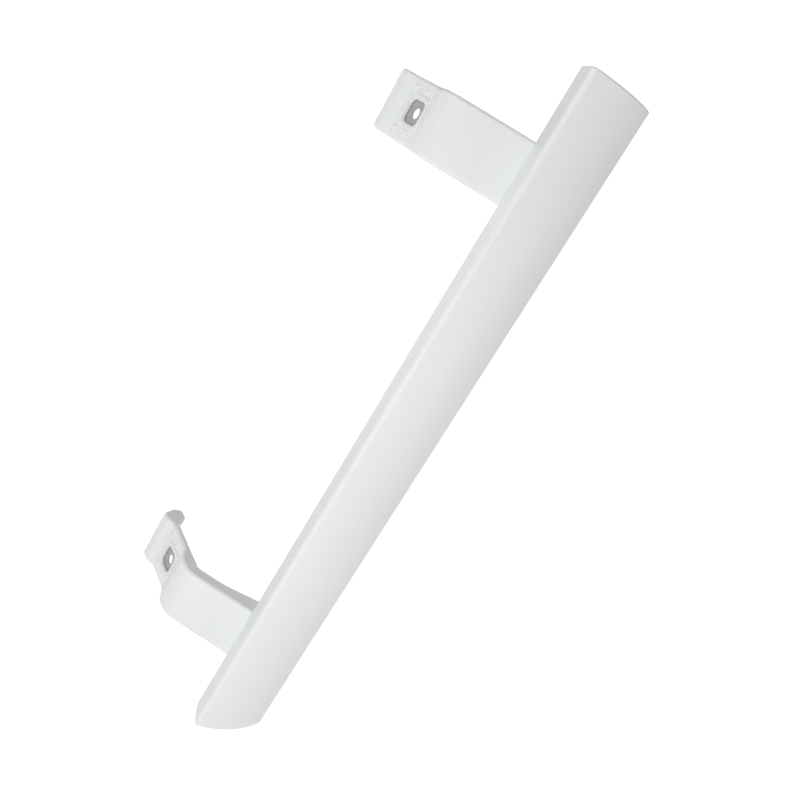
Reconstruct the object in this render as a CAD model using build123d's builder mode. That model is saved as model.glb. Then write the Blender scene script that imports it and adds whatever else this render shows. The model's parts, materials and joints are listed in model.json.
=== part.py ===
# Refrigerator door handle: one plastic moulding with a grip bar and two arms that end in screw feet.
# It stands as it is fixed: +Z runs up the bar, -Y faces the room and the feet lie on the door's side face.
# The outline is drawn with x = 0 on that face; the finished part is then moved so that the origin lies
# midway between the two screw holes, on the webs' door side, where the holes end.
import os
from math import cos, radians, sin, sqrt, tan

from build123d import *

# Grip bar
bar_length = 310.0
bar_width = 35.6
bar_thickness = 17.0
bar_crown_radius = 45.0
bar_front_radius = 2.0
bar_side_slant = 26.0  # lean of the bar's sides towards each other at the back
bar_back_radius = 4.0
bar_end_round = 0.8
bar_inset = 9.8  # from the door's side face across to the bar's near side
bar_reach = 46.2  # from the screw axis forward to the bar's back

# Arms
arm_width = 25.6
arm_angle = 44.8  # turn of the arm from straight forward towards the bar
arm_corner_reach = 22.9  # from the screw axis forward to the arm's outer corner
arm_bend_radius = 11.0
arm_edge_round = 1.5
flare_start = 13.5  # length of the even part of the arm's inner face after the bend
flare_blend_radius = 30.0
root_margin = 1.0  # flat left on the bar's back beyond the flare
root_sink = 1.0  # depth that the flare's face runs on into the bar
root_overlap = 6.0  # depth that the arm runs into the bar

# Feet
plate_thickness = 3.6
recess_depth = 3.7  # from the arm's outer face down to the seat plate
recess_front_reach = 6.5  # from the screw axis forward to the foot of the sloping wall
recess_slope = 7.7
recess_wall_radius = 8.0
recess_back_reach = 10.2  # from the screw axis back to the tip block
tip_rise = 2.4  # height of the tip block above the seat plate
tip_slope = 3.2
tip_step_radius = 3.5
tip_edge_reach = 18.6
tip_edge_radius = 2.2
tip_back_radius = 5.0
tip_reach = 22.5
lip_depth = 5.0  # how far the lip reaches past the plane of the door's side face
lip_root_reach = 10.0  # from the screw axis back to where the lip leaves that plane
lip_end_reach = 17.2  # from the screw axis back to the front of the lip's end
lip_root_radius = 2.0
lip_inner_radius = 2.5
lip_outer_radius = 3.0

# Screw seats
hole_spacing = 226.0
hole_diameter = 4.5
pocket_size = 9.6
pocket_corner_radius = 2.4
pocket_floor = 0.8
relief_margin = 1.2  # from the pocket's outline out to the hollow behind it
relief_depth = 2.0
collar_gap = 0.6  # from the pocket's rim to the collar
collar_width = 1.4
collar_height = 0.5
nub_diameter = 2.8
nub_height = 0.7
nub_pitch = 8.2  # between the two rows of side nubs
nub_centre = 3.1  # from the screw axis back to the middle of the side nubs
nub_span = 17.0
front_nub_reach = 5.8
front_nub_span = 11.5

# Bar positions
bar_left = bar_inset
bar_right = bar_left + bar_width
bar_middle = bar_left + bar_width / 2
bar_back = -bar_reach
bar_front = bar_back - bar_thickness
crown_drop = bar_crown_radius - sqrt(bar_crown_radius**2 - (bar_width / 2) ** 2)
bar_shoulder = bar_front + crown_drop
side_run = (bar_thickness - crown_drop) * tan(radians(bar_side_slant))
back_left = bar_left + side_run
back_right = bar_right - side_run
bar_flat_end = back_right - bar_back_radius * tan(radians(90 - bar_side_slant) / 2)

# Arm and foot positions
plate_outer = -plate_thickness
arm_outer = plate_outer - recess_depth
arm_thickness = recess_depth + plate_thickness
turn_x = sin(radians(arm_angle))
turn_y = -cos(radians(arm_angle))
outer_corner_y = -arm_corner_reach
inner_corner_y = outer_corner_y + arm_thickness * tan(radians(arm_angle / 2))
flare_x = flare_start * turn_x
flare_y = inner_corner_y + flare_start * turn_y
root_x = bar_flat_end - root_margin
root_y = bar_back - root_overlap
sink_x = root_x + root_sink * (root_x - flare_x) / (flare_y - bar_back)
outer_end_x = arm_outer + (root_y - outer_corner_y) * turn_x / turn_y
tip_outer = plate_outer - tip_rise
nub_radius = (nub_diameter**2 / 4 + nub_height**2) / (2 * nub_height)
nub_sink = nub_radius - nub_height

with BuildPart() as handle:
    # Both arms from one outline, with each arm centred on its screw hole
    hole_heights = [-hole_spacing / 2, hole_spacing / 2]
    with BuildSketch(*[Plane.XY.offset(z - arm_width / 2) for z in hole_heights]):
        with BuildLine():
            FilletPolyline(
                (outer_end_x, root_y),
                (sink_x, root_y),
                (sink_x, bar_back - root_sink),
                (flare_x, flare_y),
                (0, inner_corner_y),
                (0, lip_root_reach),
                (lip_depth, lip_end_reach),
                (lip_depth, tip_reach),
                (0, tip_reach),
                (tip_outer, tip_edge_reach),
                (tip_outer, recess_back_reach + tip_slope),
                (plate_outer, recess_back_reach),
                (plate_outer, -recess_front_reach),
                (arm_outer, -recess_front_reach - recess_slope),
                (arm_outer, outer_corner_y),
                radius=[
                    0,
                    0,
                    0,
                    flare_blend_radius,
                    arm_bend_radius - arm_thickness,
                    lip_root_radius,
                    lip_inner_radius,
                    lip_outer_radius,
                    tip_back_radius,
                    tip_edge_radius,
                    tip_step_radius,
                    tip_step_radius,
                    recess_wall_radius,
                    recess_wall_radius,
                    arm_bend_radius,
                ],
                close=True,
            )
        make_face()
    extrude(amount=arm_width)
    fillet(handle.faces().filter_by(Axis.Z).edges(), arm_edge_round)

    # Bar
    with BuildSketch(Plane.XY.offset(-bar_length / 2)) as bar_section:
        with BuildLine():
            crown = ThreePointArc((bar_left, bar_shoulder), (bar_middle, bar_front), (bar_right, bar_shoulder))
            Polyline(crown @ 1, (back_right, bar_back), (back_left, bar_back), crown @ 0)
        make_face()
        fillet(bar_section.vertices().group_by(Axis.Y)[0], bar_front_radius)
        fillet(bar_section.vertices().group_by(Axis.Y)[-1], bar_back_radius)
    extrude(amount=bar_length)
    bar_ends = handle.faces().filter_by(Axis.Z).group_by(Axis.Z)
    fillet(bar_ends[0].edges() + bar_ends[-1].edges(), bar_end_round)

    # Raised collar round each pocket, with four domed nubs beside it and two in front
    seats = [Plane((plate_outer, 0, z), x_dir=(0, 1, 0), z_dir=(-1, 0, 0)) for z in hole_heights]
    collar_inner = pocket_size + 2 * collar_gap
    collar_outer = collar_inner + 2 * collar_width
    collar_inner_radius = pocket_corner_radius + collar_gap
    with BuildSketch(*seats):
        RectangleRounded(collar_outer, collar_outer, collar_inner_radius + collar_width)
        RectangleRounded(collar_inner, collar_inner, collar_inner_radius, mode=Mode.SUBTRACT)
    extrude(amount=collar_height)
    with Locations(*[seat.offset(-nub_sink) for seat in seats]):
        with Locations((nub_centre, 0)):
            with GridLocations(nub_pitch, nub_span, 2, 2):
                Sphere(nub_radius)
        with Locations((-front_nub_reach, 0)):
            with GridLocations(0, front_nub_span, 1, 2):
                Sphere(nub_radius)

    # Hollow in the door's side of each plate, which leaves a thin web behind the pocket
    relief_size = pocket_size + 2 * relief_margin
    with BuildSketch(*[seat.offset(-plate_thickness) for seat in seats]):
        RectangleRounded(relief_size, relief_size, pocket_corner_radius + relief_margin)
    extrude(amount=relief_depth, mode=Mode.SUBTRACT)

    # Square pocket for the screw's head and its hole, open to the outside
    with BuildSketch(*seats):
        RectangleRounded(pocket_size, pocket_size, pocket_corner_radius)
    extrude(amount=pocket_floor + relief_depth - plate_thickness, mode=Mode.SUBTRACT)
    with Locations(*seats):
        Hole(radius=hole_diameter / 2, depth=plate_thickness)

# The webs' door side lies relief_depth short of the door's face
placed = handle.part.moved(Location((relief_depth, 0, 0)))
placed.label = "handle"
os.makedirs("parts", exist_ok=True)
export_step(placed, "parts/handle.step")
print("handle", round(placed.volume / 1000, 1), "cm3", placed.bounding_box())
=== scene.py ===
# %% [markdown]
# # A moulded refrigerator door handle
# This lesson dresses a finished CAD part for a product picture. The handle is one white plastic moulding:
# a long grip bar, two arms that leave its back and two feet that screw to the side face of a door.
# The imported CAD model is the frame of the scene. Its sizes and places are fixed, in metres, with +Z up along
# the bar and -Y towards the room. The lesson adds smooth shading, a plastic skin, a studio and a camera.

import json
from math import cos, radians, sin

import bpy
from mathutils import Matrix, Vector


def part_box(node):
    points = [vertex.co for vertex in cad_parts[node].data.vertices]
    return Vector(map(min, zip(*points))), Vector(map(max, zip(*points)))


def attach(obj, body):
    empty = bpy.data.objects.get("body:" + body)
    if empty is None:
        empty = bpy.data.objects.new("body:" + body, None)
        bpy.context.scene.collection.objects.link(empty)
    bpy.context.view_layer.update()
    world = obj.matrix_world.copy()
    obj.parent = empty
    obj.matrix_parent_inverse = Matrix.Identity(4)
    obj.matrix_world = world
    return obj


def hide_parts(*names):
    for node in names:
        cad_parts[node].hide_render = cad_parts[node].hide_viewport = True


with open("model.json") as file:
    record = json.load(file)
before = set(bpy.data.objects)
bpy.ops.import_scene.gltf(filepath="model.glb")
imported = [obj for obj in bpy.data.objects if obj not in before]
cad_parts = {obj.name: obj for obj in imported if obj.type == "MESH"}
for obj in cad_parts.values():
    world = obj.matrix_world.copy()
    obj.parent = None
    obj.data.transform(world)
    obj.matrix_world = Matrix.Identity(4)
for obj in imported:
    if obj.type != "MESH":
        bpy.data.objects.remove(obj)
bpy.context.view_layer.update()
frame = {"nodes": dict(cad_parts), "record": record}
low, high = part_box("handle")
print("handle from", [round(v, 4) for v in low], "to", [round(v, 4) for v in high])

# %% [markdown]
# ## The moulding's surface
# On the real handle every face comes off a polished steel mould, so a face runs into its rounded edges with
# no visible facet. The CAD mesh is a heap of loose triangles and would show each of them in a reflection.
# One way is to model the handle again by hand, but that can drift from the true sizes. Here a Geometry Nodes
# tree takes a copy of the CAD mesh, joins its triangles, shades it smooth and keeps the true edges crisp.

# %% Helpers for node trees
def add_node(tree, kind, x, y, **settings):
    node = tree.nodes.new(kind)
    node.location = (x, y)
    for name, value in settings.items():
        setattr(node, name, value)
    return node


def add_input(tree, name, kind, value=None):
    socket = tree.interface.new_socket(name, in_out="INPUT", socket_type=kind)
    if value is not None:
        socket.default_value = value


# %% The finishing tree
join_distance = 0.000002
crisp_angle = radians(35)


def build_finishing_tree():
    tree = bpy.data.node_groups.new("moulding_finish", "GeometryNodeTree")
    add_input(tree, "Geometry", "NodeSocketGeometry")
    add_input(tree, "Join Distance", "NodeSocketFloat", join_distance)
    add_input(tree, "Crisp Angle", "NodeSocketFloat", crisp_angle)
    add_input(tree, "Skin", "NodeSocketMaterial")
    tree.interface.new_socket("Geometry", in_out="OUTPUT", socket_type="NodeSocketGeometry")
    start = add_node(tree, "NodeGroupInput", -800, 0)
    join = add_node(tree, "GeometryNodeMergeByDistance", -600, 0)
    soft = add_node(tree, "GeometryNodeSetShadeSmooth", -400, 0, domain="FACE")
    angle = add_node(tree, "GeometryNodeInputMeshEdgeAngle", -600, -220)
    crisp = add_node(tree, "FunctionNodeCompare", -400, -220, data_type="FLOAT", operation="GREATER_THAN")
    edges = add_node(tree, "GeometryNodeSetShadeSmooth", -200, 0, domain="EDGE")
    edges.inputs["Shade Smooth"].default_value = False
    real = add_node(tree, "GeometryNodeRealizeInstances", 0, 0)
    skin = add_node(tree, "GeometryNodeSetMaterial", 200, 0)
    end = add_node(tree, "NodeGroupOutput", 400, 0)
    link = tree.links.new
    link(start.outputs["Geometry"], join.inputs["Geometry"])
    link(start.outputs["Join Distance"], join.inputs["Distance"])
    link(join.outputs["Geometry"], soft.inputs["Geometry"])
    link(soft.outputs["Geometry"], edges.inputs["Geometry"])
    link(angle.outputs["Unsigned Angle"], crisp.inputs["A"])
    link(start.outputs["Crisp Angle"], crisp.inputs["B"])
    link(crisp.outputs["Result"], edges.inputs["Selection"])
    link(edges.outputs["Geometry"], real.inputs["Geometry"])
    link(real.outputs["Geometry"], skin.inputs["Geometry"])
    link(start.outputs["Skin"], skin.inputs["Material"])
    link(skin.outputs["Geometry"], end.inputs["Geometry"])
    return tree


finishing = build_finishing_tree()
print("finishing tree with", len(finishing.nodes), "nodes")

# %% [markdown]
# ## White plastic
# The real plastic is white all through, with a satin gloss. A single flat colour would look like paper, so
# the cool white drifts a little lighter and darker over a few centimetres, the gloss is not the same
# everywhere, and a very low, fine ripple breaks the reflections as a moulded skin does. All of it reads
# Object coordinates, so it stays on the part from every side.
#
# The two screw pockets are the exception: their floors get painted shade, a grey that stands in for the
# shade inside them. It could be painted by hand or given a second material, but a rule is easier to change.
# A small node group finds the pockets: it measures how far a point lies from the nearer screw axis, in the
# square sense, and how deep it is under the seat, and it stops before the back of the thin web. It gives
# back a mask for the painted shade, and the material decides what the mask does.

# %% The painted pocket shade mask
mm = 0.001
screw_holes = next(mount for mount in frame["record"]["mounts"] if mount["name"] == "screw_holes")
screw_height = screw_holes["dims"]["spacing_y_mm"] * mm / 2
pocket_half = 4.8 * mm
seat_level = -1.6 * mm
soft_edge = 0.3 * mm
full_depth = 0.6 * mm  # depth under the seat at which the mask is whole
last_depth = 1.4 * mm  # depth at which it has faded out again


def math_node(tree, operation, x, y, first, second=None):
    node = add_node(tree, "ShaderNodeMath", x, y, operation=operation)
    for socket, value in zip(node.inputs, (first, second)):
        if value is not None:
            tree.links.new(value, socket)
    return node.outputs["Value"]


def build_pocket_shade_mask():
    tree = bpy.data.node_groups.new("pocket_shade_mask", "ShaderNodeTree")
    add_input(tree, "Place", "NodeSocketVector")
    add_input(tree, "Screw Height", "NodeSocketFloat", screw_height)
    add_input(tree, "Half Size", "NodeSocketFloat", pocket_half)
    add_input(tree, "Seat Level", "NodeSocketFloat", seat_level)
    add_input(tree, "Soft Edge", "NodeSocketFloat", soft_edge)
    add_input(tree, "Full Depth", "NodeSocketFloat", full_depth)
    add_input(tree, "Last Depth", "NodeSocketFloat", last_depth)
    tree.interface.new_socket("Mask", in_out="OUTPUT", socket_type="NodeSocketFloat")
    start = add_node(tree, "NodeGroupInput", -900, 0)
    parts = add_node(tree, "ShaderNodeSeparateXYZ", -700, 0)
    tree.links.new(start.outputs["Place"], parts.inputs["Vector"])
    height = math_node(tree, "ABSOLUTE", -500, 0, parts.outputs["Z"])
    from_axis = math_node(tree, "SUBTRACT", -350, 0, height, start.outputs["Screw Height"])
    upright = math_node(tree, "ABSOLUTE", -200, 0, from_axis)
    across = math_node(tree, "ABSOLUTE", -500, 200, parts.outputs["Y"])
    reach = math_node(tree, "MAXIMUM", -50, 100, upright, across)
    inside = math_node(tree, "SUBTRACT", 100, 100, start.outputs["Half Size"], reach)
    inside = math_node(tree, "ADD", 250, 100, inside, start.outputs["Soft Edge"])
    inside = math_node(tree, "DIVIDE", 400, 100, inside, start.outputs["Soft Edge"])
    depth = math_node(tree, "SUBTRACT", 100, -150, parts.outputs["X"], start.outputs["Seat Level"])
    below = math_node(tree, "DIVIDE", 250, -150, depth, start.outputs["Full Depth"])
    above = math_node(tree, "SUBTRACT", 250, -350, start.outputs["Last Depth"], depth)
    above = math_node(tree, "DIVIDE", 400, -350, above, start.outputs["Soft Edge"])
    least = math_node(tree, "MINIMUM", 550, 0, inside, below)
    least = math_node(tree, "MINIMUM", 700, 0, least, above)
    limit = add_node(tree, "ShaderNodeClamp", 850, 0)
    end = add_node(tree, "NodeGroupOutput", 1000, 0)
    tree.links.new(least, limit.inputs["Value"])
    tree.links.new(limit.outputs["Result"], end.inputs["Mask"])
    return tree


pocket_shade_mask = build_pocket_shade_mask()
print("pocket mask with", len(pocket_shade_mask.nodes), "nodes")

# %% Noise for the plastic
drift_scale = 22.0
gloss_scale = 60.0
ripple_scale = 900.0


def add_noise(tree, place, y, scale, detail):
    noise = add_node(tree, "ShaderNodeTexNoise", -850, y)
    noise.inputs["Scale"].default_value = scale
    noise.inputs["Detail"].default_value = detail
    tree.links.new(place.outputs["Object"], noise.inputs["Vector"])
    return noise.outputs["Fac"]


# %% The plastic material
darker_white = (0.79, 0.806, 0.812, 1)
lighter_white = (0.811, 0.826, 0.826, 1)
# painted shade: this grey stands in for the shade inside the screw pockets, not a colour of the plastic
painted_pocket_shade = (0.4, 0.4, 0.4, 1)
drift_start = 0.3
drift_end = 0.7
least_roughness = 0.42
most_roughness = 0.54
ripple_strength = 0.04
ripple_height = 0.2 * mm
plastic_ior = 1.5


def build_white_plastic():
    material = bpy.data.materials.new("white_plastic")
    material.use_nodes = True
    tree = material.node_tree
    shader = tree.nodes["Principled BSDF"]
    shader.inputs["IOR"].default_value = plastic_ior
    place = add_node(tree, "ShaderNodeTexCoord", -1100, 0)
    white = add_node(tree, "ShaderNodeValToRGB", -650, 250)
    first, last = white.color_ramp.elements
    first.position = drift_start
    first.color = darker_white
    last.position = drift_end
    last.color = lighter_white
    # painted shade: the pocket mask greys the pocket floors where their shade falls
    pocket_shade = add_node(tree, "ShaderNodeGroup", -650, 480, node_tree=pocket_shade_mask)
    pocket_shade_mix = add_node(tree, "ShaderNodeMix", -350, 350, data_type="RGBA")
    pocket_shade_mix.inputs["B"].default_value = painted_pocket_shade
    satin = add_node(tree, "ShaderNodeMapRange", -650, 0)
    satin.inputs["To Min"].default_value = least_roughness
    satin.inputs["To Max"].default_value = most_roughness
    bump = add_node(tree, "ShaderNodeBump", -400, -250)
    bump.inputs["Strength"].default_value = ripple_strength
    bump.inputs["Distance"].default_value = ripple_height
    link = tree.links.new
    link(add_noise(tree, place, 250, drift_scale, detail=3.0), white.inputs["Fac"])
    link(add_noise(tree, place, 0, gloss_scale, detail=4.0), satin.inputs["Value"])
    link(add_noise(tree, place, -250, ripple_scale, detail=2.0), bump.inputs["Height"])
    link(place.outputs["Object"], pocket_shade.inputs["Place"])
    link(pocket_shade.outputs["Mask"], pocket_shade_mix.inputs["Factor"])
    link(white.outputs["Color"], pocket_shade_mix.inputs["A"])
    link(pocket_shade_mix.outputs["Result"], shader.inputs["Base Color"])
    link(satin.outputs["Result"], shader.inputs["Roughness"])
    link(bump.outputs["Normal"], shader.inputs["Normal"])
    return material


white_plastic = build_white_plastic()
print("material", white_plastic.name, "with", len(white_plastic.node_tree.nodes), "nodes")

# %% Finish a copy of the CAD mesh
def set_input(modifier, name, value):
    for item in modifier.node_group.interface.items_tree:
        if item.in_out == "INPUT" and item.name == name:
            modifier[item.identifier] = value


def finish_moulding(node, name):
    rough = bpy.data.objects.new(name + "_rough", node.data.copy())
    bpy.context.scene.collection.objects.link(rough)
    modifier = rough.modifiers.new("finish", "NODES")
    modifier.node_group = finishing
    set_input(modifier, "Skin", white_plastic)
    bpy.context.view_layer.update()
    evaluated = rough.evaluated_get(bpy.context.evaluated_depsgraph_get())
    mesh = bpy.data.meshes.new_from_object(evaluated)
    mesh.name = name
    bpy.data.objects.remove(rough)
    piece = bpy.data.objects.new(name, mesh)
    bpy.context.scene.collection.objects.link(piece)
    normals = piece.modifiers.new("even_normals", "WEIGHTED_NORMAL")
    normals.keep_sharp = True
    return piece


moulding = finish_moulding(frame["nodes"]["handle"], "moulded_handle")
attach(moulding, "root")
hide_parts("handle")
print("moulding", len(moulding.data.vertices), "points", len(moulding.data.polygons), "faces")

# %% [markdown]
# ## The studio
# A white part on a white ground is lit as on a photographer's light table: the floor itself glows and fills
# the shadows from below, the sky gives soft light from above, and the band near the horizon is dark, which
# draws a fine grey line along the rounded edges. Five lamps shape the rest. A small one near the camera
# brightens the middle of the bar, one high at the left lights the near side and the feet, a weak one at the
# right fills the crowned front, and one behind gives the bar's slanted side a glancing shine. The last stands
# low on the door's side: it keeps the back white and leaves the arms' upper sides in shade. All of them stand
# above the floor, because a lamp below it would light nothing.
#
# The camera must see plain white all round. A Light Path node does that: camera rays see a flat white, and
# every other ray sees the true floor and sky, so the picture's ground doesn't decide how the handle is lit.

# %% White for the camera alone
seen_strength = 1.1


def white_to_the_eye(tree, light_shader, output):
    seen = add_node(tree, "ShaderNodeEmission", 0, -150)
    seen.inputs["Strength"].default_value = seen_strength
    ray = add_node(tree, "ShaderNodeLightPath", 0, 300)
    pick = add_node(tree, "ShaderNodeMixShader", 250, 100)
    tree.links.new(ray.outputs["Is Camera Ray"], pick.inputs["Fac"])
    tree.links.new(light_shader, pick.inputs[1])
    tree.links.new(seen.outputs["Emission"], pick.inputs[2])
    tree.links.new(pick.outputs["Shader"], output.inputs["Surface"])


# %% Floor
floor_half = 12.0
floor_level = low.z - 20 * mm
floor_colour = (0.8, 0.8, 0.8, 1)
floor_roughness = 0.9
floor_glow = 0.328
pure_white = (1, 1, 1, 1)


def build_floor():
    material = bpy.data.materials.new("pale_floor")
    material.use_nodes = True
    tree = material.node_tree
    shader = tree.nodes["Principled BSDF"]
    shader.inputs["Base Color"].default_value = floor_colour
    shader.inputs["Roughness"].default_value = floor_roughness
    shader.inputs["Emission Color"].default_value = pure_white
    shader.inputs["Emission Strength"].default_value = floor_glow
    white_to_the_eye(tree, shader.outputs["BSDF"], tree.nodes["Material Output"])
    mesh = bpy.data.meshes.new("floor")
    corner_signs = ((-1, -1), (1, -1), (1, 1), (-1, 1))
    corners = [(x * floor_half, y * floor_half, floor_level) for x, y in corner_signs]
    mesh.from_pydata(corners, [], [(0, 1, 2, 3)])
    mesh.materials.append(material)
    floor = bpy.data.objects.new("floor", mesh)
    bpy.context.scene.collection.objects.link(floor)


build_floor()
print("floor at", round(floor_level, 3), "m")

# %% Surroundings
horizon_top = 0.1  # sine of the height up to which the band is dark
sky_full = 0.5  # sine of the height from which the sky has its whole strength
sky_strength = 0.46


def build_surroundings():
    world = bpy.data.worlds.new("white_room")
    bpy.context.scene.world = world
    world.use_nodes = True
    tree = world.node_tree
    room = tree.nodes["Background"]
    room.inputs["Color"].default_value = pure_white
    place = add_node(tree, "ShaderNodeTexCoord", -800, 0)
    parts = add_node(tree, "ShaderNodeSeparateXYZ", -600, 0)
    fade = add_node(tree, "ShaderNodeMapRange", -400, 0)
    fade.inputs["From Min"].default_value = horizon_top
    fade.inputs["From Max"].default_value = sky_full
    fade.inputs["To Min"].default_value = 0.0
    fade.inputs["To Max"].default_value = sky_strength
    tree.links.new(place.outputs["Generated"], parts.inputs["Vector"])
    tree.links.new(parts.outputs["Z"], fade.inputs["Value"])
    tree.links.new(fade.outputs["Result"], room.inputs["Strength"])
    white_to_the_eye(tree, room.outputs["Background"], tree.nodes["World Output"])


build_surroundings()
bpy.context.scene.view_settings.view_transform = "Standard"
print("surroundings", bpy.context.scene.world.name)

# %% Lamps
def add_lamp(name, place, target, size, power):
    data = bpy.data.lights.new(name, "AREA")
    data.shape = "DISK"
    data.size = size
    data.energy = power
    lamp = bpy.data.objects.new(name, data)
    lamp.location = place
    lamp.rotation_euler = (target - Vector(place)).to_track_quat("-Z", "Y").to_euler()
    bpy.context.scene.collection.objects.link(lamp)


middle = (low + high) / 2
lower_bar = Vector((0.03, -0.06, -0.04))
add_lamp("front_lamp", place=(-0.32, -0.38, -0.06), target=lower_bar, size=0.1, power=0.7)
add_lamp("left_lamp", place=(-0.7, 0.1, 0.45), target=middle, size=0.3, power=1.71)
add_lamp("right_lamp", place=(0.3, -0.7, -0.05), target=middle, size=0.3, power=0.81)
add_lamp("back_lamp", place=(-0.1, 0.8, 0.0), target=middle, size=0.4, power=0.53)
add_lamp("door_side_lamp", place=(0.6, 0.55, -0.11), target=middle, size=0.12, power=1.9)
print("lamps", sorted(light.name for light in bpy.data.lights))

# %% [markdown]
# ## The camera
# The picture looks at the handle from the front left, a little from above, with the camera rolled about its
# line of sight so that the upright bar leans across the frame. The lens is given in pixels of an 800 pixel
# square picture.

# %% Camera
picture_side = 800
sensor_width = 36.0
lens_pixels = 812.307
nearest_seen = 10 * mm
camera_place = Vector((-0.18656, -0.27641, 0.10867))
camera_turn = radians(42.994)
camera_fall = radians(16.519)
camera_roll = radians(-31.454)


def place_camera():
    level_part = cos(camera_fall)
    ahead = Vector((sin(camera_turn) * level_part, cos(camera_turn) * level_part, -sin(camera_fall)))
    level = Vector((cos(camera_turn), -sin(camera_turn), 0))
    down = ahead.cross(level)
    right = cos(camera_roll) * level + sin(camera_roll) * down
    below = cos(camera_roll) * down - sin(camera_roll) * level
    data = bpy.data.cameras.new("picture_camera")
    data.sensor_width = sensor_width
    data.lens = sensor_width * lens_pixels / picture_side
    data.clip_start = nearest_seen
    camera = bpy.data.objects.new("picture_camera", data)
    facing = Matrix((right, -below, -ahead)).transposed().to_4x4()
    camera.matrix_world = Matrix.Translation(camera_place) @ facing
    bpy.context.scene.collection.objects.link(camera)
    bpy.context.scene.camera = camera
    return camera


camera = place_camera()
print("camera lens", round(camera.data.lens, 2), "mm")
